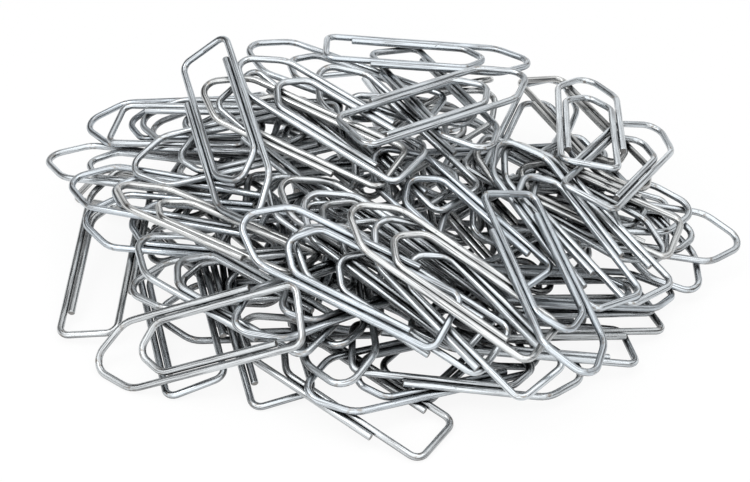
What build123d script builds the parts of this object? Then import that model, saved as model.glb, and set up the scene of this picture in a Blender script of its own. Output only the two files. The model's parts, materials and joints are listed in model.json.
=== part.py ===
from build123d import *
import math
import os

import numpy as np
from scipy.spatial import cKDTree

# A loose heap of pointed wire paper clips, every clip a separate length of bent wire.
# Millimetres, +Z up, the heap stands on z = 0. The front of the heap faces -Y.

# One clip: round wire bent flat, square at one end and pointed at the other
wire_diameter = 0.94
clip_length = 30.0
clip_width = 9.8
leg_gap = 0.1
corner_radius = 1.4
tip_height = 5.8
tip_radius = 2.2
shoulder_radius = 4.0
frame_end = 6.4
tongue_setback = 6.6
tongue_tip_height = 3.0
tongue_tip_radius = 1.8
tongue_shoulder_radius = 2.4
tongue_end = 3.6

# The heap: a mound with its crest towards the back and a long slope to the front
heap_height = 20.0
heap_half_length = 54.0
heap_front_reach = 56.0
heap_back_reach = 20.0
heap_crest_y = 26.0
heap_roundness = 1.5
wire_clearance = 0.15

# Clips that can be seen, lowest first, so that a later clip lies over an earlier one.
# Each row: node, x and y of the clip's middle, heading and pitch of its tip in degrees, which face is up.
# Clips with the same node name are one group of separate wires.
UP = 1
DOWN = -1
low_clips = [
    ("front_left_floor_clip", -15, -11, 110, 10, UP),
    ("left_floor_clip", -26, -9, 110, 20, UP),
    ("front_floor_clip", -3, -23, 145, -10, DOWN),
    ("front_under_clips", 6, -20, -155, 20, UP),
    ("front_under_clips", 12, -19, 5, -20, UP),
    ("front_under_clips", -5, -12, -80, -25, UP),
    ("front_under_clips", 20, -13, -165, 25, UP),
    ("right_front_clip", 24, -11, -160, 20, DOWN),
    ("right_inner_clip", 23, -8, -160, 20, UP),
    ("right_low_clip", 27, -6, 15, -30, UP),
    ("right_edge_clip", 35, 8, -50, 0, UP),
    ("right_outlying_clip", 36, 6, 0, -25, UP),
    ("side_under_clips", 30, 7, 10, -30, DOWN),
    ("left_leaning_clip", -36, 2, 90, 25, UP),
    ("left_outlying_clip", -32, 17, 160, -10, UP),
    ("side_under_clips", -25, 1, 160, -5, UP),
    ("left_back_clip", -27, 24, 170, -5, UP),
    ("side_under_clips", -19, 20, 165, -10, DOWN),
]
middle_clips = [
    ("left_rim_clip", -27, 7, 160, -5, UP),
    ("left_cross_clip", -23, 18, -15, 10, UP),
    ("side_under_clips", -15, -7, 170, -30, UP),
    ("left_slope_lower_clip", -16, -11, 150, 10, DOWN),
    ("front_cross_clip", -3, -14, -155, 5, UP),
    ("left_slope_upper_clip", -20, -2, 155, 20, DOWN),
    ("left_shoulder_clip", -18, 12, 180, -30, UP),
    ("crest_under_clip", -4, 25, 155, 5, DOWN),
    ("right_back_clip", 31, 22, -65, -5, UP),
    ("right_cross_clip", 27, 6, -25, -20, UP),
    ("right_rising_clip", 27, 6, 160, 15, UP),
    ("right_slope_lower_clip", 26, -1, 130, -10, DOWN),
    ("right_slope_upper_clip", 24, -2, 120, -5, UP),
    ("crest_diagonal_clip", -7, 11, -40, -25, UP),
    ("crest_inner_clip", 3, 13, 130, 5, UP),
    ("crest_back_clip", 9, 19, -65, 0, UP),
    ("centre_under_clips", -1, -5, 145, 25, UP),
    ("centre_under_clips", 0, -7, 145, 25, DOWN),
    ("centre_under_clips", 3, -10, 140, 20, UP),
]
top_clips = [
    ("front_slope_lower_clip", 3, -15, 145, 10, DOWN),
    ("front_slope_right_clip", 11, -15, 130, -10, DOWN),
    ("centre_slope_clip", 10, -3, 130, 10, DOWN),
    ("front_slope_left_clip", -3, -13, 155, 25, UP),
    ("front_slope_upper_clip", 7, -15, 145, 30, UP),
    ("crest_left_lower_clip", -10, 11, 150, 20, DOWN),
    ("crest_left_upper_clip", -6, 13, 145, 10, UP),
    ("crest_back_cross_clip", 8, 29, 0, 0, UP),
    ("right_perched_lower_clip", 34, 13, 60, 0, DOWN),
]
# Clips that nothing lies on, laid on the finished heap. The tongue of each is a wire of its own
loose_clips = [
    ("left_front_clip", -21, -18, 170, -25, UP),
    ("right_sliding_clip", 20, -13, -75, -25, UP),
    ("left_draped_clip", -19, 11, -75, -15, UP),
    ("crest_bridge_clip", 9, 15, 35, 0, DOWN),
    ("right_perched_upper_clip", 31, 21, 85, 5, UP),
]
# Clips that lie level from side to side, whatever the slope under them
level_clips = {
    "front_floor_clip",
    "right_outlying_clip",
    "left_outlying_clip",
    "left_draped_clip",
    "right_perched_lower_clip",
    "right_perched_upper_clip",
}
low_lift = -0.8
middle_lift = 0.0
top_lift = 0.8
loose_lift = 6.0

# Buried clips, in layers: how many, share of the mound's height, spread in x and y, middle in x and y
core_layers = [
    ("floor_core_clips", 12, 0.15, 36.0, 24.0, 0.0, 9.0),
    ("middle_core_clips", 12, 0.40, 32.0, 22.0, 2.0, 13.0),
    ("upper_core_clips", 9, 0.68, 28.0, 16.0, 4.0, 18.0),
]
core_group_size = 6
core_heading_step = 77.0
golden_angle = 137.508

# Rounds of nudging: sample spacing along the wire, rounds, settling per round, strength
heap_stages = [(0.9, 200, 0.012, 1.1), (0.7, 400, 0.0, 1.2), (0.4, 80, 0.0, 1.2)]
loose_stages = [(0.7, 270, 0.06, 1.1), (0.7, 300, 0.0, 1.2)]
settling_share = 0.75
neighbour_rounds = 4
longest_nudge = 0.3
largest_turn = 0.03
# Wires closer to parallel than this sine part sideways, and a common normal flatter than this isn't ranked
parallel_sine = 0.3
level_normal = 0.35
# Samples stand for this share of the spacing on each side of them
sample_reach = 0.55
# A clip takes this share of the roll of the slope under it, measured over this reach
side_roll_share = 0.6
slope_reach = 4.0
tiny = 1e-9

wire_radius = wire_diameter / 2
fine_spacing = wire_diameter / 5
close_enough = wire_clearance / 3
half_width = (clip_width - wire_diameter) / 2
leg_pitch = wire_diameter + leg_gap
tongue_half_width = half_width - leg_pitch
wire_length_span = clip_length - wire_diameter
square_end_x = -wire_length_span / 2


def apex_overshoot(radius, half_base, height):
    """How far the sharp apex of a gable stands beyond its rounded tip."""
    return radius * (math.hypot(half_base, height) / half_base - 1)


def clip_corners():
    """Sharp corners of the wire's centreline, from the short outer leg's end to the tongue's end."""
    tip_x = square_end_x + wire_length_span + apex_overshoot(tip_radius, half_width, tip_height)
    tongue_tip_x = square_end_x + wire_length_span - tongue_setback
    tongue_tip_x += apex_overshoot(tongue_tip_radius, tongue_half_width, tongue_tip_height)
    frame = [
        (square_end_x + frame_end, -half_width),
        (tip_x - tip_height, -half_width),
        (tip_x, 0),
        (tip_x - tip_height, half_width),
        (square_end_x, half_width),
    ]
    tongue = [
        (square_end_x, leg_pitch - half_width),
        (tongue_tip_x - tongue_tip_height, -tongue_half_width),
        (tongue_tip_x, 0),
        (tongue_tip_x - tongue_tip_height, tongue_half_width),
        (square_end_x + tongue_end, tongue_half_width),
    ]
    return frame, tongue


frame_corners, tongue_corners = clip_corners()
frame_radii = [shoulder_radius, tip_radius, shoulder_radius, corner_radius]
tongue_radii = [corner_radius, tongue_shoulder_radius, tongue_tip_radius, tongue_shoulder_radius]
square_end_middle = (square_end_x, leg_pitch / 2)


def wire_path(plane, corners, radii):
    with BuildLine(plane) as path:
        FilletPolyline(*corners, radius=radii)
    return path.wire()


def wire_piece(plane, corners, radii):
    """Round wire swept along rounded corners that lie in a plane."""
    path = wire_path(plane, corners, radii)
    with BuildPart() as piece:
        with BuildSketch(Plane(origin=path @ 0, z_dir=path % 0)):
            Circle(wire_radius)
        sweep(path=path)
    return piece.part


def mound(x, y):
    """Height of the heap's outer surface."""
    reach = heap_front_reach if y < heap_crest_y else heap_back_reach
    ratio = math.hypot(x / heap_half_length, (y - heap_crest_y) / reach)
    return wire_radius + heap_height * max(0.0, 1 - ratio**heap_roundness)


def turn_matrix(heading, pitch, roll):
    """Rotation of a clip: roll about its length, then pitch its tip up, then turn it to its heading."""
    h, p, r = (math.radians(angle) for angle in (heading, pitch, roll))
    turn_z = np.array([[math.cos(h), -math.sin(h), 0], [math.sin(h), math.cos(h), 0], [0, 0, 1]])
    turn_y = np.array([[math.cos(p), 0, -math.sin(p)], [0, 1, 0], [math.sin(p), 0, math.cos(p)]])
    turn_x = np.array([[1, 0, 0], [0, math.cos(r), -math.sin(r)], [0, math.sin(r), math.cos(r)]])
    return turn_z @ turn_y @ turn_x


def planned_place(x, y, heading, pitch, face, lift, share=1.0, level=False):
    """A clip laid on the mound: its middle and its rotation. A pitch of None follows the slope."""
    slope_x = (mound(x + slope_reach, y) - mound(x - slope_reach, y)) / (2 * slope_reach)
    slope_y = (mound(x, y + slope_reach) - mound(x, y - slope_reach)) / (2 * slope_reach)
    along_x, along_y = math.cos(math.radians(heading)), math.sin(math.radians(heading))
    if pitch is None:
        pitch = math.degrees(math.atan(slope_x * along_x + slope_y * along_y))
    roll = 0.0
    if not level:
        roll = side_roll_share * math.degrees(math.atan(slope_y * along_x - slope_x * along_y))
    if face == DOWN:
        roll += 180
    middle = np.array([x, y, max(mound(x, y) * share + lift, wire_radius)])
    return middle, turn_matrix(heading, pitch, roll)


def planned_clips():
    """Nodes, middles and rotations of every clip before nudging, lowest first."""
    nodes, middles, turns = [], [], []
    count = 0
    for layer, number, share, spread_x, spread_y, middle_x, middle_y in core_layers:
        for index in range(number):
            radius = math.sqrt((index + 0.5) / number)
            angle = math.radians(golden_angle * count)
            x = middle_x + spread_x * radius * math.cos(angle)
            y = middle_y + spread_y * radius * math.sin(angle)
            face = UP if index % 2 else DOWN
            middle, turn = planned_place(x, y, core_heading_step * count, None, face, 0.0, share)
            nodes.append(f"{layer}_{index // core_group_size + 1}")
            middles.append(middle)
            turns.append(turn)
            count += 1
    layers = [
        (low_clips, low_lift),
        (middle_clips, middle_lift),
        (top_clips, top_lift),
        (loose_clips, loose_lift),
    ]
    for rows, lift in layers:
        for node, x, y, heading, pitch, face in rows:
            middle, turn = planned_place(x, y, heading, pitch, face, lift, level=node in level_clips)
            nodes.append(node)
            middles.append(middle)
            turns.append(turn)
    return nodes, np.array(middles), np.array(turns)


def sample_clip(spacing):
    """Points and unit tangents along one clip's centreline."""
    path = wire_path(Plane.XY, frame_corners + tongue_corners, frame_radii + tongue_radii)
    shares = np.linspace(0, 1, round(path.length / spacing) + 1)
    points = np.array([tuple(path @ share) for share in shares])
    tangents = np.array([tuple(path % share) for share in shares])
    return points, tangents


def wire_contacts(points, tangents, owner, is_end, pairs, spacing):
    """Pairs of wire points that are too close, with the direction and depth that part them."""
    target = wire_diameter + wire_clearance
    reach = sample_reach * spacing
    first, second = pairs.T
    offset = points[first] - points[second]
    along_a, along_b = tangents[first], tangents[second]
    cross = np.cross(along_a, along_b)
    sine = np.linalg.norm(cross, axis=1)
    cosine = np.sum(along_a * along_b, axis=1)
    ahead_a, ahead_b = np.sum(offset * along_a, axis=1), np.sum(offset * along_b, axis=1)
    spread = np.maximum(sine**2, tiny)
    to_closest_a = np.abs(cosine * ahead_b - ahead_a) / spread
    to_closest_b = np.abs(ahead_b - cosine * ahead_a) / spread
    crossing = (sine > parallel_sine) & (to_closest_a <= reach) & (to_closest_b <= reach)
    ended = (is_end[first] | is_end[second]) & ~crossing
    # wires that cross part along their common normal, the later clip upwards
    normal = cross / np.maximum(sine, tiny)[:, None]
    apart = np.sum(offset * normal, axis=1)
    ranked = crossing & (np.abs(normal[:, 2]) > level_normal) & (np.abs(apart) < target + wire_radius)
    later_up = np.sign(normal[:, 2]) * np.sign(owner[first] - owner[second])
    upward = np.where(ranked, later_up, np.sign(apart))
    # wires side by side part sideways
    common = along_a + np.sign(cosine)[:, None] * along_b
    common /= np.linalg.norm(common, axis=1, keepdims=True)
    along_common = np.sum(offset * common, axis=1)
    sideways = offset - common * along_common[:, None]
    parallel = (sine <= parallel_sine) & (np.abs(along_common) <= reach) & ~ended
    direction = np.where(parallel[:, None], sideways, offset)
    direction = np.where(crossing[:, None], normal * upward[:, None], direction)
    distance = np.where(crossing, apart * upward, np.linalg.norm(direction, axis=1))
    close = (crossing | parallel | ended) & (distance < target)
    direction = direction[close]
    direction /= np.maximum(np.linalg.norm(direction, axis=1, keepdims=True), tiny)
    return first[close], second[close], direction, (target - distance)[close]


def shortened(vectors, longest):
    """Vectors cut back to a longest length."""
    lengths = np.linalg.norm(vectors, axis=1, keepdims=True)
    return vectors * np.minimum(1, longest / np.maximum(lengths, tiny))


def nudge_apart(middles, turns, held, spacing, rounds, settling, strength):
    """Moves and turns whole clips until their wires clear each other, letting them sink a little meanwhile.

    The first clips, as many as held, stay where they are.
    """
    clip_points, clip_tangents = sample_clip(spacing)
    clips, samples = len(middles), len(clip_points)
    owner = np.repeat(np.arange(clips), samples)
    is_end = np.tile(np.isin(np.arange(samples), (0, samples - 1)), clips)
    inertia = sum((point @ point) * np.eye(3) - np.outer(point, point) for point in clip_points)
    inverse_local = np.linalg.inv(inertia)
    for count in range(rounds):
        arms = np.einsum("nij,mj->nmi", turns, clip_points).reshape(-1, 3)
        points = arms + middles[owner]
        tangents = np.einsum("nij,mj->nmi", turns, clip_tangents).reshape(-1, 3)
        if count % neighbour_rounds == 0:
            capture = 2 * wire_diameter + wire_clearance + spacing
            pairs = cKDTree(points).query_pairs(capture, output_type="ndarray")
            pairs = pairs[owner[pairs[:, 0]] != owner[pairs[:, 1]]]
        first, second, direction, depth = wire_contacts(points, tangents, owner, is_end, pairs, spacing)
        if settling == 0 and depth.max(initial=0.0) < close_enough:
            break
        clip_pair = owner[first] * clips + owner[second]
        share = depth**2 / np.bincount(clip_pair, depth**2, clips**2)[clip_pair]
        inverse = np.einsum("nij,jk,nlk->nil", turns, inverse_local, turns)
        moves, spins = np.zeros((clips, 3)), np.zeros((clips, 3))
        twists, yields = [], 0
        for side in (first, second):
            twist = np.cross(arms[side], direction)
            twists.append(np.einsum("kij,kj->ki", inverse[owner[side]], twist))
            yields = yields + 1 / samples + np.sum(twist * twists[-1], axis=1)
        push = strength * share * depth / yields
        for side, twist, sign in ((first, twists[0], 1), (second, twists[1], -1)):
            np.add.at(moves, owner[side], sign * push[:, None] * direction / samples)
            np.add.at(spins, owner[side], sign * push[:, None] * twist)
        moves[:, 2] -= settling * max(0.0, 1 - count / (settling_share * rounds))
        moves[:held] = 0
        spins[:held] = 0
        spins = shortened(spins, largest_turn)
        middles = middles + shortened(moves, longest_nudge)
        turns = turns + np.cross(spins[:, :, None], turns, axisa=1, axisb=1, axisc=1)
        square, upper = np.linalg.qr(turns)
        turns = square * np.sign(np.diagonal(upper, axis1=1, axis2=2))[:, None, :]
        lowest = np.einsum("nj,mj->nm", turns[:, 2], clip_points).min(axis=1) + middles[:, 2]
        middles[:, 2] += np.maximum(0, wire_radius - lowest)
    return middles, turns


def footprint_middle(middles, turns):
    """Middle of the heap's box at the floor."""
    clip_points, _ = sample_clip(fine_spacing)
    points = (np.einsum("nij,mj->nmi", turns, clip_points) + middles[:, None]).reshape(-1, 3)
    low, high = points.min(axis=0), points.max(axis=0)
    return np.array([(low[0] + high[0]) / 2, (low[1] + high[1]) / 2, low[2] - wire_radius])


def least_gap(middles, turns):
    """Least gap between the wires of any two clips."""
    clip_points, _ = sample_clip(fine_spacing)
    points = (np.einsum("nij,mj->nmi", turns, clip_points) + middles[:, None]).reshape(-1, 3)
    owner = np.repeat(np.arange(len(middles)), len(clip_points))
    pairs = cKDTree(points).query_pairs(2 * wire_diameter, output_type="ndarray")
    pairs = pairs[owner[pairs[:, 0]] != owner[pairs[:, 1]]]
    return np.linalg.norm(points[pairs[:, 0]] - points[pairs[:, 1]], axis=1).min() - wire_diameter


nodes, middles, turns = planned_clips()
resting = len(nodes) - len(loose_clips)
heap_middles, heap_turns = middles[:resting], turns[:resting]
for stage in heap_stages:
    heap_middles, heap_turns = nudge_apart(heap_middles, heap_turns, 0, *stage)
middles[:resting], turns[:resting] = heap_middles, heap_turns
for stage in loose_stages:
    middles, turns = nudge_apart(middles, turns, resting, *stage)
middles -= footprint_middle(middles, turns)
print(f"{len(nodes)} clips, least gap between wires {least_gap(middles, turns):.3f} mm")

pieces = {}
for index, node in enumerate(nodes):
    across, upward = turns[index][:, 0], turns[index][:, 2]
    plane = Plane(origin=tuple(middles[index]), x_dir=tuple(across), z_dir=tuple(upward))
    if index >= resting:
        pieces[f"{node}_frame"] = [wire_piece(plane, frame_corners + [square_end_middle], frame_radii)]
        pieces[f"{node}_tongue"] = [wire_piece(plane, [square_end_middle] + tongue_corners, tongue_radii)]
    else:
        whole = wire_piece(plane, frame_corners + tongue_corners, frame_radii + tongue_radii)
        pieces.setdefault(node, []).append(whole)

os.makedirs("parts", exist_ok=True)
for node, wires in pieces.items():
    with BuildPart() as group:
        add(wires)
    group.part.label = node
    export_step(group.part, f"parts/{node}.step")
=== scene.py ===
"""A loose heap of pointed paper clips: zinc wire, bent, sheared and tipped out on a white table."""

import json
import math

import bpy
import numpy as np
from mathutils import Matrix, Vector


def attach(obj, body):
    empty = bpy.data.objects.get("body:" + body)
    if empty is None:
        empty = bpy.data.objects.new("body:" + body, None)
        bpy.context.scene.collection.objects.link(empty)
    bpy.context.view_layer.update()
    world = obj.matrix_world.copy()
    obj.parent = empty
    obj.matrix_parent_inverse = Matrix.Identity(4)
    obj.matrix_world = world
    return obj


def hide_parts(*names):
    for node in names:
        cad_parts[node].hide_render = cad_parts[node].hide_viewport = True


bl_info = {
    "name": "Paper Clip Heap",
    "version": (1, 0, 0),
    "blender": (4, 5, 0),
    "location": "View3D > Sidebar > Clip Heap",
    "description": "Bends the clips of a loose heap from zinc wire and lights them on a white table",
    "category": "Object",
}

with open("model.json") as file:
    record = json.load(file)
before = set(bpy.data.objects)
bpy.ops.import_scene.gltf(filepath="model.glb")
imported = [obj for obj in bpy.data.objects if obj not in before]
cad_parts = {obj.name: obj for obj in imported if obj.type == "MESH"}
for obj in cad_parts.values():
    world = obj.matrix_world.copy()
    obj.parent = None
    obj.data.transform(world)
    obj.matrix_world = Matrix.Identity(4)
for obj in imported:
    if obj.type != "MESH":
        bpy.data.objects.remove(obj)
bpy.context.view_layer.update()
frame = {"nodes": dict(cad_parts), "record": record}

HEAP_BODY = "heap"
STRAIGHT = "straight_wire"
TONE = "clip_tone"
BENT = "bent_wire"

# Lamp, place, width of its face, power
LAMPS = (
    ("softbox", (-0.05, -0.23, 0.33), 1.1, 4.2),
    ("key", (-0.2, -0.12, 0.40), 0.16, 0.25),
    ("side", (0.30, 0.15, 0.42), 0.6, 0.75),
    ("backdrop", (0.0, 0.5, 0.3), 0.7, 0.75),
)

# Noise per metre along the straight wire and across it both ways, and its octaves
DIE_LINES = ((160, 7000, 7000), 4.0)
RUBBED_PATCHES = ((260, 900, 900), 3.0)
PITS = ((3000, 4500, 4500), 1.0)
BEND_SCUFFS = ((1500, 2600, 2600), 3.0)
SHEAR_LINES = ((500, 3000, 16000), 2.0)

# Noise below the first value is all mark, and above the second all clean
DIE_LINE_RANGE = (0.34, 0.5)
PIT_RANGE = (0.2, 0.27)
SCUFF_RANGE = (0.36, 0.48)
SHEAR_RANGE = (0.3, 0.6)
# Noise of the cleanest and of the most rubbed plating
RUBBED_RANGE = (0.35, 0.65)
# Open sky over a place deep in a crevice, which gets the darkest painted shade, and over one that is out of
# it and gets none
CREVICE_SHADE_RANGE = (0.24, 0.58)
CREVICE_SHADE_SAMPLES = 6
# Clips in a row from the bluest to the warmest film, with the clean ones between
FILM_STOPS = (0.0, 0.3, 0.75, 1.0)
MARK, CLEAN = (1, 1, 1), (0, 0, 0)
WHITE = (1, 1, 1)

# Places of a colour mix's sockets
MIX_FACTOR, MIX_FIRST, MIX_SECOND = 0, 6, 7
MIX_RESULT = 2

# A wire's first finish is its zinc, and its second the bare steel of the cuts
BARE_STEEL = 1
RIM_STEPS = 2

# Steps of a wire's middle line to one wire diameter, and points matched to it at a time
LINE_STEPS = 8
BATCH = 500
# One point of a CAD wire in this many is matched to a pattern, which may miss by this share of the diameter
MATCH_EVERY = 7
LARGEST_MISS = 0.05
MERGE_DISTANCE = 1e-7
# A sheared face lies within this share of the diameter of the wire's end and looks along the legs
CUT_REACH = 0.4
CUT_FACING = 0.6
# Metres of drawn wire between one clip and the next, and the step of film from clip to clip
WIRE_STRIDE = 0.37
FILM_STEP = 0.618034
FIRST_LOOSE_NUMBER = 200


class ClipSizes(bpy.types.PropertyGroup):
    """Sizes of one clip."""

    wire_diameter: bpy.props.FloatProperty(
        name="Wire diameter",
        description="Thickness of the drawn wire",
        default=0.00094,
        unit="LENGTH",
        precision=5,
    )
    length: bpy.props.FloatProperty(
        name="Length", description="Square end to pointed tip", default=0.03, unit="LENGTH", precision=5
    )
    width: bpy.props.FloatProperty(
        name="Width", description="Across both outer legs", default=0.0098, unit="LENGTH", precision=5
    )
    leg_gap: bpy.props.FloatProperty(
        name="Leg gap",
        description="Gap between frame and tongue",
        default=0.0001,
        unit="LENGTH",
        precision=5,
    )
    corner_radius: bpy.props.FloatProperty(
        name="Corner radius",
        description="Bend at the square end",
        default=0.0014,
        unit="LENGTH",
        precision=5,
    )
    tip_height: bpy.props.FloatProperty(
        name="Tip height",
        description="Height of the frame's gable",
        default=0.0058,
        unit="LENGTH",
        precision=5,
    )
    tip_radius: bpy.props.FloatProperty(
        name="Tip radius", description="Bend at the frame's tip", default=0.0022, unit="LENGTH", precision=5
    )
    shoulder_radius: bpy.props.FloatProperty(
        name="Shoulder radius",
        description="Bend below the frame's gable",
        default=0.004,
        unit="LENGTH",
        precision=5,
    )
    frame_end: bpy.props.FloatProperty(
        name="Frame end",
        description="Square end to the frame's cut",
        default=0.0064,
        unit="LENGTH",
        precision=5,
    )
    tongue_setback: bpy.props.FloatProperty(
        name="Tongue setback",
        description="Frame's tip to tongue's tip",
        default=0.0066,
        unit="LENGTH",
        precision=5,
    )
    tongue_tip_height: bpy.props.FloatProperty(
        name="Tongue tip height",
        description="Height of the tongue's gable",
        default=0.003,
        unit="LENGTH",
        precision=5,
    )
    tongue_tip_radius: bpy.props.FloatProperty(
        name="Tongue tip radius",
        description="Bend at the tongue's tip",
        default=0.0018,
        unit="LENGTH",
        precision=5,
    )
    tongue_shoulder_radius: bpy.props.FloatProperty(
        name="Tongue shoulder radius",
        description="Bend below the tongue's gable",
        default=0.0024,
        unit="LENGTH",
        precision=5,
    )
    tongue_end: bpy.props.FloatProperty(
        name="Tongue end",
        description="Square end to the tongue's cut",
        default=0.0036,
        unit="LENGTH",
        precision=5,
    )
    cut_rim: bpy.props.FloatProperty(
        name="Cut rim",
        description="Rounded rim of a sheared end",
        default=0.00007,
        unit="LENGTH",
        precision=5,
    )
    cut_hollow: bpy.props.FloatProperty(
        name="Cut hollow",
        description="How far a sheared face dips",
        default=0.00004,
        unit="LENGTH",
        precision=5,
    )
    sides: bpy.props.IntProperty(name="Sides", description="Faces round the wire", default=16, min=8)
    run_step: bpy.props.FloatProperty(
        name="Run step",
        description="Longest face along a straight run",
        default=0.002,
        unit="LENGTH",
        precision=5,
    )
    bend_step: bpy.props.FloatProperty(
        name="Bend step",
        description="Turn of one face in a bend",
        default=math.radians(11),
        subtype="ANGLE",
    )
    smooth_angle: bpy.props.FloatProperty(
        name="Smooth angle",
        description="Edges sharper than this stay sharp",
        default=math.radians(50),
        subtype="ANGLE",
    )


class WireFinish(bpy.types.PropertyGroup):
    """Colours of the zinc wire."""

    bright: bpy.props.FloatVectorProperty(
        name="Bright zinc", description="Cleanest wire", default=(0.63, 0.67, 0.70), subtype="COLOR", size=3
    )
    cool: bpy.props.FloatVectorProperty(
        name="Cool zinc",
        description="Wire with a blue passivated film",
        default=(0.56, 0.61, 0.655),
        subtype="COLOR",
        size=3,
    )
    warm: bpy.props.FloatVectorProperty(
        name="Warm zinc",
        description="Wire with a straw film",
        default=(0.65, 0.655, 0.645),
        subtype="COLOR",
        size=3,
    )
    drawn_line: bpy.props.FloatVectorProperty(
        name="Drawn line",
        description="Die lines along the wire",
        default=(0.17, 0.17, 0.175),
        subtype="COLOR",
        size=3,
    )
    speck: bpy.props.FloatVectorProperty(
        name="Speck",
        description="Pits in the plating",
        default=(0.10, 0.095, 0.09),
        subtype="COLOR",
        size=3,
    )
    scuff: bpy.props.FloatVectorProperty(
        name="Bend scuff",
        description="Plating crazed by a bend",
        default=(0.30, 0.28, 0.26),
        subtype="COLOR",
        size=3,
    )
    cut_face: bpy.props.FloatVectorProperty(
        name="Cut face",
        description="Bare steel of a sheared end",
        default=(0.36, 0.35, 0.34),
        subtype="COLOR",
        size=3,
    )
    cut_line: bpy.props.FloatVectorProperty(
        name="Cut line",
        description="Lines of the shear on a cut face",
        default=(0.126, 0.1225, 0.119),
        subtype="COLOR",
        size=3,
    )
    # Painted shade: the zinc's colour darkens towards this deep between clips, where other wires shade it
    crevice_shade: bpy.props.FloatVectorProperty(
        name="Crevice",
        description="Share of the zinc's colour left deep between clips",
        default=(0.02, 0.02, 0.021),
        subtype="COLOR",
        size=3,
    )
    crevice_shade_reach: bpy.props.FloatProperty(
        name="Crevice reach",
        description="How near other wires count as a crevice",
        default=0.01,
        unit="LENGTH",
        precision=5,
    )
    smooth: bpy.props.FloatProperty(
        name="Bright roughness", description="Roughness of clean plating", default=0.2, subtype="FACTOR"
    )
    dull: bpy.props.FloatProperty(
        name="Dull roughness", description="Roughness of rubbed plating", default=0.36, subtype="FACTOR"
    )
    cut_roughness: bpy.props.FloatProperty(
        name="Cut roughness", description="Roughness of a sheared end", default=0.5, subtype="FACTOR"
    )
    line_strength: bpy.props.FloatProperty(
        name="Line strength",
        description="How plainly the die lines catch light",
        default=0.35,
        subtype="FACTOR",
    )
    line_depth: bpy.props.FloatProperty(
        name="Line depth", description="Depth of the die lines", default=0.00002, unit="LENGTH", precision=5
    )


class StageSettings(bpy.types.PropertyGroup):
    """Table, lamps and camera."""

    aim: bpy.props.FloatVectorProperty(
        name="Aim",
        description="Where the camera looks",
        default=(-0.0015, -0.00625, 0.008),
        subtype="XYZ",
        size=3,
    )
    elevation: bpy.props.FloatProperty(
        name="Elevation", description="Camera above the table", default=math.radians(37), subtype="ANGLE"
    )
    distance: bpy.props.FloatProperty(
        name="Distance", description="Camera to aim", default=0.214, unit="LENGTH"
    )
    lens: bpy.props.FloatProperty(name="Lens", description="Focal length in millimetres", default=76.8)
    nearest: bpy.props.FloatProperty(
        name="Nearest", description="Nearest thing the camera sees", default=0.01, unit="LENGTH"
    )
    table_size: bpy.props.FloatProperty(
        name="Table size", description="Side of the table", default=6.0, unit="LENGTH"
    )
    wall_height: bpy.props.FloatProperty(
        name="Wall height", description="Pale wall round the table", default=0.75, unit="LENGTH"
    )
    table: bpy.props.FloatVectorProperty(
        name="Table",
        description="Table and wall as the camera and the metal see them",
        default=(0.92, 0.92, 0.92),
        subtype="COLOR",
        size=3,
    )
    table_bounce: bpy.props.FloatVectorProperty(
        name="Table bounce",
        description="Table and wall as they light each other",
        default=(0.45, 0.45, 0.45),
        subtype="COLOR",
        size=3,
    )
    table_roughness: bpy.props.FloatProperty(
        name="Table roughness", description="Roughness of table and wall", default=0.7, subtype="FACTOR"
    )
    table_glow: bpy.props.FloatProperty(
        name="Table glow",
        description="Share of the table's white that no shadow dims",
        default=0.9,
        subtype="FACTOR",
    )
    room: bpy.props.FloatVectorProperty(
        name="Room",
        description="Grey of the room round the table",
        default=(0.10, 0.101, 0.102),
        subtype="COLOR",
        size=3,
    )


def only(*chosen):
    """Selects these objects alone and makes the first one active."""
    bpy.ops.object.select_all(action="DESELECT")
    for piece in chosen:
        piece.select_set(True)
    bpy.context.view_layer.objects.active = chosen[0]


def gable_overshoot(radius, half_base, height):
    """How far the sharp apex of a gable stands beyond its rounded tip."""
    return radius * (math.hypot(half_base, height) / half_base - 1)


def wire_routes(clip):
    """Corners and bend radii of the frame and of the tongue in the clip's plane, and where they meet."""
    half_width = (clip.width - clip.wire_diameter) / 2
    pitch = clip.wire_diameter + clip.leg_gap
    inner = half_width - pitch
    span = clip.length - clip.wire_diameter
    square = -span / 2
    tip = span / 2 + gable_overshoot(clip.tip_radius, half_width, clip.tip_height)
    tongue_tip = span / 2 - clip.tongue_setback
    tongue_tip += gable_overshoot(clip.tongue_tip_radius, inner, clip.tongue_tip_height)
    frame_corners = [
        (square + clip.frame_end, -half_width),
        (tip - clip.tip_height, -half_width),
        (tip, 0),
        (tip - clip.tip_height, half_width),
        (square, half_width),
    ]
    tongue_corners = [
        (square, pitch - half_width),
        (tongue_tip - clip.tongue_tip_height, -inner),
        (tongue_tip, 0),
        (tongue_tip - clip.tongue_tip_height, inner),
        (square + clip.tongue_end, inner),
    ]
    frame_radii = [clip.shoulder_radius, clip.tip_radius, clip.shoulder_radius, clip.corner_radius]
    tongue_radii = [
        clip.corner_radius,
        clip.tongue_shoulder_radius,
        clip.tongue_tip_radius,
        clip.tongue_shoulder_radius,
    ]
    return frame_corners, frame_radii, tongue_corners, tongue_radii, (square, pitch / 2)


def pattern_routes(clip):
    """Corners, bend radii and sheared ends of a whole clip's wire, a frame's and a tongue's."""
    frame_corners, frame_radii, tongue_corners, tongue_radii, meeting = wire_routes(clip)
    frame_cut, tongue_cut = frame_corners[0], tongue_corners[-1]
    return {
        "whole": (frame_corners + tongue_corners, frame_radii + tongue_radii, [frame_cut, tongue_cut]),
        "frame": (frame_corners + [meeting], frame_radii, [frame_cut]),
        "tongue": ([meeting] + tongue_corners, tongue_radii, [tongue_cut]),
    }


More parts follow.
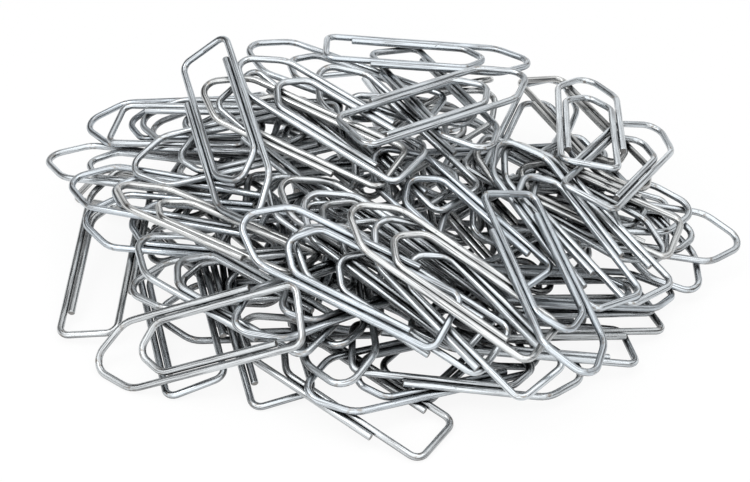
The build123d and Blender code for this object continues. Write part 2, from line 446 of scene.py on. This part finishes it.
def runs_and_bends(corners, radii):
    """The wire as a start, a first heading and a row of (run length, turn, bend radius)."""
    points = [Vector((x, y, 0)) for x, y in corners]
    headings = [(b - a).normalized() for a, b in zip(points, points[1:])]
    turns = [math.atan2(a.cross(b).z, a.dot(b)) for a, b in zip(headings, headings[1:])]
    taken = [0] + [radius * math.tan(abs(turn) / 2) for radius, turn in zip(radii, turns)] + [0]
    runs = [(b - a).length - taken[i] - taken[i + 1] for i, (a, b) in enumerate(zip(points, points[1:]))]
    return points[0], headings[0], list(zip(runs, turns + [0], list(radii) + [0]))


def centreline(corners, radii, step):
    """Places, directions and lengths along the wire's middle, and how far each place is inside a bend."""
    place, heading, moves = runs_and_bends(corners, radii)
    places, directions, lengths, bends = [], [], [], []
    travelled = 0.0
    for run, turn, radius in moves:
        for share in np.linspace(0, 1, max(2, math.ceil(run / step))):
            places.append(place + heading * run * share)
            directions.append(heading.copy())
            lengths.append(travelled + run * share)
            bends.append(0.0)
        place = place + heading * run
        travelled += run
        if turn:
            centre = place + Vector((-heading.y, heading.x, 0)) * math.copysign(radius, turn)
            for share in np.linspace(0, 1, max(2, math.ceil(radius * abs(turn) / step))):
                swing = Matrix.Rotation(turn * share, 3, "Z")
                places.append(centre + swing @ (place - centre))
                directions.append(swing @ heading)
                lengths.append(travelled + radius * abs(turn) * share)
                bends.append(math.sin(math.pi * share))
            swing = Matrix.Rotation(turn, 3, "Z")
            place = centre + swing @ (place - centre)
            heading = swing @ heading
            travelled += radius * abs(turn)
    return np.array(places), np.array(directions), np.array(lengths), np.array(bends)


def pattern_line(name):
    """The middle line of a pattern wire."""
    clip = bpy.context.scene.clip_sizes
    corners, radii, _ = pattern_routes(clip)[name]
    return centreline(corners, radii, clip.wire_diameter / LINE_STEPS)


def nearest(points, line):
    """For each point, the nearest place on the wire's middle and how far off it is."""
    found = np.empty(len(points), int)
    for first in range(0, len(points), BATCH):
        batch = points[first : first + BATCH]
        found[first : first + BATCH] = ((batch[:, None] - line[None]) ** 2).sum(axis=2).argmin(axis=1)
    return found, np.linalg.norm(points - line[found], axis=1)


def corners_of(mesh):
    """The mesh's points as rows of x, y and z."""
    points = np.empty(len(mesh.vertices) * 3)
    mesh.vertices.foreach_get("co", points)
    return points.reshape(-1, 3)


def bend_wire(name, corners, radii, cut_ends):
    """One length of round wire: a disc drawn out along each run, spun round each bend and sheared."""
    clip = bpy.context.scene.clip_sizes
    place, heading, moves = runs_and_bends(corners, radii)
    bpy.ops.object.select_all(action="DESELECT")
    bpy.ops.mesh.primitive_circle_add(
        vertices=clip.sides,
        radius=clip.wire_diameter / 2,
        fill_type="NGON",
        location=place,
        rotation=heading.to_track_quat("Z", "Y").to_euler(),
    )
    wire = bpy.context.object
    wire.name = name
    bpy.ops.object.transform_apply(location=True, rotation=True, scale=True)
    bpy.ops.object.mode_set(mode="EDIT")
    bpy.ops.mesh.select_mode(type="FACE")
    bpy.ops.mesh.select_all(action="SELECT")
    for run, turn, radius in moves:
        steps = max(1, math.ceil(run / clip.run_step))
        for _ in range(steps):
            bpy.ops.mesh.extrude_region_move(TRANSFORM_OT_translate={"value": heading * run / steps})
        place = place + heading * run
        if turn:
            centre = place + Vector((-heading.y, heading.x, 0)) * math.copysign(radius, turn)
            steps = math.ceil(abs(turn) / clip.bend_step)
            bpy.ops.mesh.spin(steps=steps, angle=-turn, center=centre, axis=(0, 0, 1))
            swing = Matrix.Rotation(turn, 3, "Z")
            place = centre + swing @ (place - centre)
            heading = swing @ heading
    bpy.ops.mesh.select_all(action="SELECT")
    bpy.ops.mesh.normals_make_consistent(inside=False)
    bpy.ops.object.mode_set(mode="OBJECT")
    for end in cut_ends:
        shear_end(wire, Vector((*end, 0)), clip)
    bpy.ops.object.shade_smooth_by_angle(angle=clip.smooth_angle)
    return wire


def shear_end(wire, end, clip):
    """Rounds the rim of one end and dips its face, as a shear leaves it."""
    only(wire)
    bpy.ops.object.mode_set(mode="EDIT")
    bpy.ops.mesh.select_all(action="DESELECT")
    bpy.ops.object.mode_set(mode="OBJECT")
    cap = min(
        (face for face in wire.data.polygons if len(face.vertices) == clip.sides),
        key=lambda face: (face.center - end).length,
    )
    cap.select = True
    bpy.ops.object.mode_set(mode="EDIT")
    bpy.ops.mesh.bevel(offset=clip.cut_rim, segments=RIM_STEPS, affect="EDGES")
    bpy.ops.mesh.inset(thickness=clip.cut_rim, depth=-clip.cut_hollow)
    bpy.ops.mesh.inset(thickness=clip.cut_rim, depth=clip.cut_hollow / 2)
    bpy.ops.object.mode_set(mode="OBJECT")


def mark_straight(wire, line):
    """Keeps where each point of a wire lay when the wire was straight, and how far inside a bend it is."""
    places, directions, lengths, bends = line
    points = corners_of(wire.data)
    found, _ = nearest(points, places)
    offset = points - places[found]
    direction = directions[found]
    sideways = np.stack([-direction[:, 1], direction[:, 0]], axis=1)
    straight = np.stack(
        [
            lengths[found] + (offset * direction).sum(axis=1),
            (offset[:, :2] * sideways).sum(axis=1),
            offset[:, 2],
        ],
        axis=1,
    )
    layer = wire.data.attributes.new(STRAIGHT, "FLOAT_VECTOR", "POINT")
    layer.data.foreach_set("vector", straight.astype(np.float32).ravel())
    bent = wire.data.attributes.new(BENT, "FLOAT", "POINT")
    bent.data.foreach_set("value", bends[found].astype(np.float32))
    wire.data.attributes.new(TONE, "FLOAT", "POINT")


def cut_faces(wire, cut_ends, clip):
    """Gives the sheared faces the bare steel finish."""
    for face in wire.data.polygons:
        off = min((face.center - Vector((*end, 0))).length for end in cut_ends)
        if off < clip.wire_diameter * CUT_REACH and abs(face.normal.x) > CUT_FACING:
            face.material_index = BARE_STEEL


def spread(mesh):
    """Middle and main axes of a mesh's surface, longest first.

    A triangle's second moment is that of its corners and nine times that of its centre.
    """
    mesh.calc_loop_triangles()
    triples = np.empty(len(mesh.loop_triangles) * 3, int)
    mesh.loop_triangles.foreach_get("vertices", triples)
    corners = corners_of(mesh)[triples.reshape(-1, 3)]
    first, second, third = corners[:, 0], corners[:, 1], corners[:, 2]
    areas = np.linalg.norm(np.cross(second - first, third - first), axis=1) / 2
    centres = corners.mean(axis=1)
    middle = (areas[:, None] * centres).sum(axis=0) / areas.sum()
    corners = corners - middle
    centres = centres - middle
    moment = np.einsum("t,tki,tkj->ij", areas, corners, corners)
    moment += 9 * np.einsum("t,ti,tj->ij", areas, centres, centres)
    _, axes = np.linalg.eigh(moment)
    return middle, axes[:, ::-1]


def pose_of(wire, pattern, line):
    """Where a CAD wire lies, as the move that takes the pattern wire onto it."""
    clip = bpy.context.scene.clip_sizes
    middle, axes = spread(wire)
    pattern_middle, pattern_axes = spread(pattern.data)
    points = corners_of(wire)[::MATCH_EVERY]
    best, best_miss = None, math.inf
    for flip_long in (1, -1):
        for flip_wide in (1, -1):
            hand = np.sign(np.linalg.det(axes) * np.linalg.det(pattern_axes)) * flip_long * flip_wide
            turn = axes @ np.diag([flip_long, flip_wide, hand]) @ pattern_axes.T
            local = (points - middle) @ turn + pattern_middle
            _, distance = nearest(local, line[0])
            miss = np.abs(distance - clip.wire_diameter / 2).mean()
            if miss < best_miss:
                best_miss = miss
                best = Matrix.Translation(middle - turn @ pattern_middle) @ Matrix(turn.tolist()).to_4x4()
    if best_miss > clip.wire_diameter * LARGEST_MISS:
        raise RuntimeError(f"a CAD wire is not the clip's shape: off by {best_miss * 1000:.3f} mm")
    return best


def cad_wires(node):
    """The separate wires of a CAD node, as merged copies of its mesh."""
    only(frame["nodes"][node])
    bpy.ops.object.duplicate()
    bpy.ops.object.mode_set(mode="EDIT")
    bpy.ops.mesh.select_all(action="SELECT")
    bpy.ops.mesh.remove_doubles(threshold=MERGE_DISTANCE)
    bpy.ops.mesh.separate(type="LOOSE")
    bpy.ops.object.mode_set(mode="OBJECT")
    copies = list(bpy.context.selected_objects)
    meshes = [copy.data for copy in copies]
    for copy in copies:
        bpy.data.objects.remove(copy)
    return meshes


def lay_copy(pattern, pose, number):
    """A copy of a pattern wire laid at a pose, with its own tone and its own stretch of drawn lines."""
    only(pattern)
    bpy.ops.object.duplicate()
    copy = bpy.context.object
    copy.hide_render = False
    copy.matrix_world = pose
    bpy.ops.object.transform_apply(location=True, rotation=True, scale=True)
    layer = copy.data.attributes[STRAIGHT].data
    straight = np.empty(len(layer) * 3, np.float32)
    layer.foreach_get("vector", straight)
    straight = straight.reshape(-1, 3)
    straight[:, 0] += number * WIRE_STRIDE
    layer.foreach_set("vector", straight.ravel())
    tone = number * FILM_STEP % 1
    copy.data.attributes[TONE].data.foreach_set("value", np.full(len(layer), tone, np.float32))
    return copy


def finish_piece(copies, node, body):
    """Joins the copies into one piece that stands for a CAD node."""
    only(*copies)
    if len(copies) > 1:
        bpy.ops.object.join()
    piece = bpy.context.object
    piece.name = f"{node}_wire"
    piece.data.name = piece.name
    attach(piece, body)
    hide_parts(node)


class CLIPHEAP_OT_patterns(bpy.types.Operator):
    """Bends the pattern wires: a whole clip, a frame alone and a tongue alone."""

    bl_idname = "clipheap.patterns"
    bl_label = "Bend Pattern Wires"

    def execute(self, context):
        clip = context.scene.clip_sizes
        zinc, bare = zinc_wire(), sheared_steel()
        for name, (corners, radii, cuts) in pattern_routes(clip).items():
            wire = bend_wire(f"pattern_{name}", corners, radii, cuts)
            mark_straight(wire, pattern_line(name))
            wire.data.materials.append(zinc)
            wire.data.materials.append(bare)
            cut_faces(wire, cuts, clip)
        return {"FINISHED"}


class CLIPHEAP_OT_resting_clips(bpy.types.Operator):
    """Lays a clip wherever the heap has one that stays put."""

    bl_idname = "clipheap.resting_clips"
    bl_label = "Lay Resting Clips"

    def execute(self, context):
        pattern = bpy.data.objects["pattern_whole"]
        line = pattern_line("whole")
        number = 0
        for node in sorted(frame["record"]["behaviour"]["bodies"][HEAP_BODY]):
            copies = []
            for mesh in cad_wires(node):
                copies.append(lay_copy(pattern, pose_of(mesh, pattern, line), number))
                bpy.data.meshes.remove(mesh)
                number += 1
            finish_piece(copies, node, HEAP_BODY)
        return {"FINISHED"}


class CLIPHEAP_OT_loose_clips(bpy.types.Operator):
    """Lays the loose clips on top, each a frame and a tongue that springs."""

    bl_idname = "clipheap.loose_clips"
    bl_label = "Lay Loose Clips"

    def execute(self, context):
        pattern, tongue_pattern = bpy.data.objects["pattern_frame"], bpy.data.objects["pattern_tongue"]
        line = pattern_line("frame")
        bodies = frame["record"]["behaviour"]["bodies"]
        frames = [body for body in bodies if body.endswith(" frame")]
        for number, body in enumerate(sorted(frames), FIRST_LOOSE_NUMBER):
            tongue_body = body.removesuffix("frame") + "tongue"
            [frame_node], [tongue_node] = bodies[body], bodies[tongue_body]
            [mesh] = cad_wires(frame_node)
            pose = pose_of(mesh, pattern, line)
            bpy.data.meshes.remove(mesh)
            finish_piece([lay_copy(pattern, pose, number)], frame_node, body)
            finish_piece([lay_copy(tongue_pattern, pose, number)], tongue_node, tongue_body)
        for name in ("whole", "frame", "tongue"):
            bpy.data.objects.remove(bpy.data.objects[f"pattern_{name}"])
        return {"FINISHED"}


def node_tree(name):
    """A new material, its node tree and its shader."""
    material = bpy.data.materials.new(name)
    material.use_nodes = True
    tree = material.node_tree
    return material, tree, tree.nodes["Principled BSDF"]


def add_node(tree, kind, place, **settings):
    """A new node at its place in the tree, with its settings."""
    node = tree.nodes.new(kind)
    node.location = place
    for key, value in settings.items():
        setattr(node, key, value)
    return node


def noise_on(tree, source, pattern, place):
    """Noise on the straight wire, stretched along it."""
    stretch, octaves = pattern
    mapping = add_node(tree, "ShaderNodeMapping", place)
    mapping.inputs["Scale"].default_value = stretch
    tree.links.new(source, mapping.inputs["Vector"])
    noise = add_node(tree, "ShaderNodeTexNoise", (place[0] + 200, place[1]))
    noise.inputs["Scale"].default_value = 1.0
    noise.inputs["Detail"].default_value = octaves
    tree.links.new(mapping.outputs["Vector"], noise.inputs["Vector"])
    return noise.outputs["Fac"]


def ramp_on(tree, source, stops, place):
    """Colours by a value, from rows of value and colour."""
    ramp = add_node(tree, "ShaderNodeValToRGB", place)
    elements = ramp.color_ramp.elements
    while len(elements) < len(stops):
        elements.new(0.5)
    for element, (position, colour) in zip(elements, stops):
        element.position = position
        element.color = (*colour, 1)
    tree.links.new(source, ramp.inputs["Fac"])
    return ramp.outputs["Color"]


def mask_on(tree, source, low_to_high, place):
    """1 where the noise leaves a mark and 0 where the wire is clean."""
    low, high = low_to_high
    return ramp_on(tree, source, [(low, MARK), (high, CLEAN)], place)


def mix_on(tree, blend, factor, first, second, place):
    """A mix of two colours, each of them and the factor a value or another node's socket."""
    mix = add_node(tree, "ShaderNodeMix", place, data_type="RGBA", blend_type=blend)
    for number, value in ((MIX_FACTOR, factor), (MIX_FIRST, first), (MIX_SECOND, second)):
        socket = mix.inputs[number]
        if isinstance(value, bpy.types.NodeSocket):
            tree.links.new(value, socket)
        elif isinstance(value, float):
            socket.default_value = value
        else:
            socket.default_value = (*value, 1)
    return mix.outputs[MIX_RESULT]


def zinc_wire():
    """Zinc on drawn wire: die lines, rubbed patches, pits, scuffed bends, a film of each clip's own, and
    painted shade that darkens it deep between clips.
    """
    finish = bpy.context.scene.wire_finish
    material, tree, shader = node_tree("zinc_wire_finish")
    straight = add_node(tree, "ShaderNodeAttribute", (-1400, 0), attribute_name=STRAIGHT).outputs["Vector"]
    tone = add_node(tree, "ShaderNodeAttribute", (-1400, 300), attribute_name=TONE).outputs["Fac"]
    die_lines = noise_on(tree, straight, DIE_LINES, (-1150, 0))
    patches = noise_on(tree, straight, RUBBED_PATCHES, (-1150, -300))
    pits = noise_on(tree, straight, PITS, (-1150, -600))
    films = (finish.cool, finish.bright, finish.bright, finish.warm)
    film = ramp_on(tree, tone, list(zip(FILM_STOPS, films)), (-900, 300))
    line_mask = mask_on(tree, die_lines, DIE_LINE_RANGE, (-700, 0))
    lined = mix_on(tree, "MIX", line_mask, film, finish.drawn_line, (-400, 200))
    pit_mask = mask_on(tree, pits, PIT_RANGE, (-700, -600))
    pitted = mix_on(tree, "MIX", pit_mask, lined, finish.speck, (-200, 200))
    bent = add_node(tree, "ShaderNodeAttribute", (-1400, -900), attribute_name=BENT).outputs["Fac"]
    scuffs = noise_on(tree, straight, BEND_SCUFFS, (-1150, -900))
    scuff_mask = mask_on(tree, scuffs, SCUFF_RANGE, (-700, -900))
    scuffed_bend = mix_on(tree, "MULTIPLY", 1.0, scuff_mask, bent, (-400, -900))
    scuffed = mix_on(tree, "MIX", scuffed_bend, pitted, finish.scuff, (0, 200))
    # Painted shade: the zinc's colour is darkened where other wires lie near and shut off the open sky
    openness = add_node(tree, "ShaderNodeAmbientOcclusion", (-200, 500), samples=CREVICE_SHADE_SAMPLES)
    openness.inputs["Distance"].default_value = finish.crevice_shade_reach
    deep, out = CREVICE_SHADE_RANGE
    painted_shade = ramp_on(tree, openness.outputs["AO"], [(deep, finish.crevice_shade), (out, WHITE)], (0, 500))
    shaded_colour = mix_on(tree, "MULTIPLY", 1.0, scuffed, painted_shade, (200, 300))
    tree.links.new(shaded_colour, shader.inputs["Base Color"])
    rough = add_node(tree, "ShaderNodeMapRange", (-400, -300))
    rough.inputs["From Min"].default_value, rough.inputs["From Max"].default_value = RUBBED_RANGE
    rough.inputs["To Min"].default_value = finish.smooth
    rough.inputs["To Max"].default_value = finish.dull
    tree.links.new(patches, rough.inputs["Value"])
    tree.links.new(rough.outputs["Result"], shader.inputs["Roughness"])
    bump = add_node(tree, "ShaderNodeBump", (-200, -200))
    bump.inputs["Strength"].default_value = finish.line_strength
    bump.inputs["Distance"].default_value = finish.line_depth
    tree.links.new(die_lines, bump.inputs["Height"])
    tree.links.new(bump.outputs["Normal"], shader.inputs["Normal"])
    shader.inputs["Metallic"].default_value = 1.0
    return material


def sheared_steel():
    """Bare steel where the wire was cut, with the shear's own lines."""
    finish = bpy.context.scene.wire_finish
    material, tree, shader = node_tree("sheared_steel")
    straight = add_node(tree, "ShaderNodeAttribute", (-1000, 0), attribute_name=STRAIGHT).outputs["Vector"]
    lines = noise_on(tree, straight, SHEAR_LINES, (-800, 0))
    low, high = SHEAR_RANGE
    colour = ramp_on(tree, lines, [(low, finish.cut_line), (high, finish.cut_face)], (-350, 0))
    tree.links.new(colour, shader.inputs["Base Color"])
    shader.inputs["Metallic"].default_value = 1.0
    shader.inputs["Roughness"].default_value = finish.cut_roughness
    return material


def background_rays(tree, place):
    """1 for the rays that show the background: the camera's, those off metal and those through glass."""
    path = add_node(tree, "ShaderNodeLightPath", place)
    share = path.outputs["Is Camera Ray"]
    for step, kind in enumerate(("Is Glossy Ray", "Is Transmission Ray"), 1):
        larger = add_node(tree, "ShaderNodeMath", (place[0] + 200 * step, place[1]), operation="MAXIMUM")
        tree.links.new(share, larger.inputs[0])
        tree.links.new(path.outputs[kind], larger.inputs[1])
        share = larger.outputs["Value"]
    return share


def white_table(stage):
    """White table and wall that keep a faint shadow and bounce little light onto each other."""
    material, tree, shader = node_tree("white_table")
    seen = background_rays(tree, (-1000, 0))
    colour = mix_on(tree, "MIX", seen, stage.table_bounce, stage.table, (-300, 100))
    tree.links.new(colour, shader.inputs["Base Color"])
    shader.inputs["Roughness"].default_value = stage.table_roughness
    light = add_node(tree, "ShaderNodeEmission", (0, -200))
    share = add_node(tree, "ShaderNodeMath", (-300, -200), operation="MULTIPLY")
    share.inputs[1].default_value = stage.table_glow
    mix = add_node(tree, "ShaderNodeMixShader", (250, 0))
    tree.links.new(seen, share.inputs[0])
    tree.links.new(share.outputs["Value"], mix.inputs["Fac"])
    tree.links.new(shader.outputs["BSDF"], mix.inputs[1])
    tree.links.new(light.outputs["Emission"], mix.inputs[2])
    tree.links.new(mix.outputs["Shader"], tree.nodes["Material Output"].inputs["Surface"])
    return material


def grey_room(stage):
    """Even grey room."""
    world = bpy.data.worlds.new("studio")
    bpy.context.scene.world = world
    world.use_nodes = True
    world.node_tree.nodes["Background"].inputs["Color"].default_value = (*stage.room, 1)


def area_lamp(name, place, target, size, power):
    """A round soft lamp that faces its target."""
    bpy.ops.object.light_add(type="AREA", location=place)
    lamp = bpy.context.object
    lamp.name = name
    lamp.data.shape = "DISK"
    lamp.data.size = size
    lamp.data.energy = power
    lamp.rotation_euler = (target - Vector(place)).to_track_quat("-Z", "Y").to_euler()


class CLIPHEAP_OT_stage(bpy.types.Operator):
    """Sets out the white table, the lamps and the camera."""

    bl_idname = "clipheap.stage"
    bl_label = "Set Stage"

    def execute(self, context):
        stage = context.scene.stage_settings
        bpy.ops.object.select_all(action="DESELECT")
        bpy.ops.mesh.primitive_plane_add(size=stage.table_size)
        table = bpy.context.object
        table.name = "table"
        bpy.ops.object.mode_set(mode="EDIT")
        bpy.ops.mesh.select_mode(type="EDGE")
        bpy.ops.mesh.select_all(action="SELECT")
        bpy.ops.mesh.extrude_edges_move(TRANSFORM_OT_translate={"value": (0, 0, stage.wall_height)})
        bpy.ops.object.mode_set(mode="OBJECT")
        table.data.materials.append(white_table(stage))
        grey_room(stage)
        aim = Vector(stage.aim)
        for name, place, width, power in LAMPS:
            area_lamp(name, place, aim, width, power)
        back = Vector((0, -math.cos(stage.elevation), math.sin(stage.elevation)))
        bpy.ops.object.camera_add(
            location=aim + back * stage.distance, rotation=(math.radians(90) - stage.elevation, 0, 0)
        )
        camera = bpy.context.object
        camera.data.lens = stage.lens
        camera.data.clip_start = stage.nearest
        context.scene.camera = camera
        context.scene.view_settings.view_transform = "Standard"
        return {"FINISHED"}


class CLIPHEAP_PT_panel(bpy.types.Panel):
    """Sizes, finish and steps of the heap."""

    bl_label = "Clip Heap"
    bl_idname = "CLIPHEAP_PT_panel"
    bl_space_type = "VIEW_3D"
    bl_region_type = "UI"
    bl_category = "Clip Heap"

    def draw(self, context):
        layout = self.layout
        for group in (context.scene.clip_sizes, context.scene.wire_finish, context.scene.stage_settings):
            box = layout.box()
            for name in group.__annotations__:
                box.prop(group, name)
        for step in steps:
            layout.operator(step.bl_idname)


steps = (CLIPHEAP_OT_patterns, CLIPHEAP_OT_resting_clips, CLIPHEAP_OT_loose_clips, CLIPHEAP_OT_stage)
classes = (ClipSizes, WireFinish, StageSettings, *steps, CLIPHEAP_PT_panel)


def register():
    for kind in classes:
        bpy.utils.register_class(kind)
    bpy.types.Scene.clip_sizes = bpy.props.PointerProperty(type=ClipSizes)
    bpy.types.Scene.wire_finish = bpy.props.PointerProperty(type=WireFinish)
    bpy.types.Scene.stage_settings = bpy.props.PointerProperty(type=StageSettings)


def unregister():
    del bpy.types.Scene.stage_settings
    del bpy.types.Scene.wire_finish
    del bpy.types.Scene.clip_sizes
    for kind in reversed(classes):
        bpy.utils.unregister_class(kind)


def main():
    register()
    bpy.ops.clipheap.patterns()
    bpy.ops.clipheap.resting_clips()
    bpy.ops.clipheap.loose_clips()
    bpy.ops.clipheap.stage()


if __name__ == "__main__":
    main()
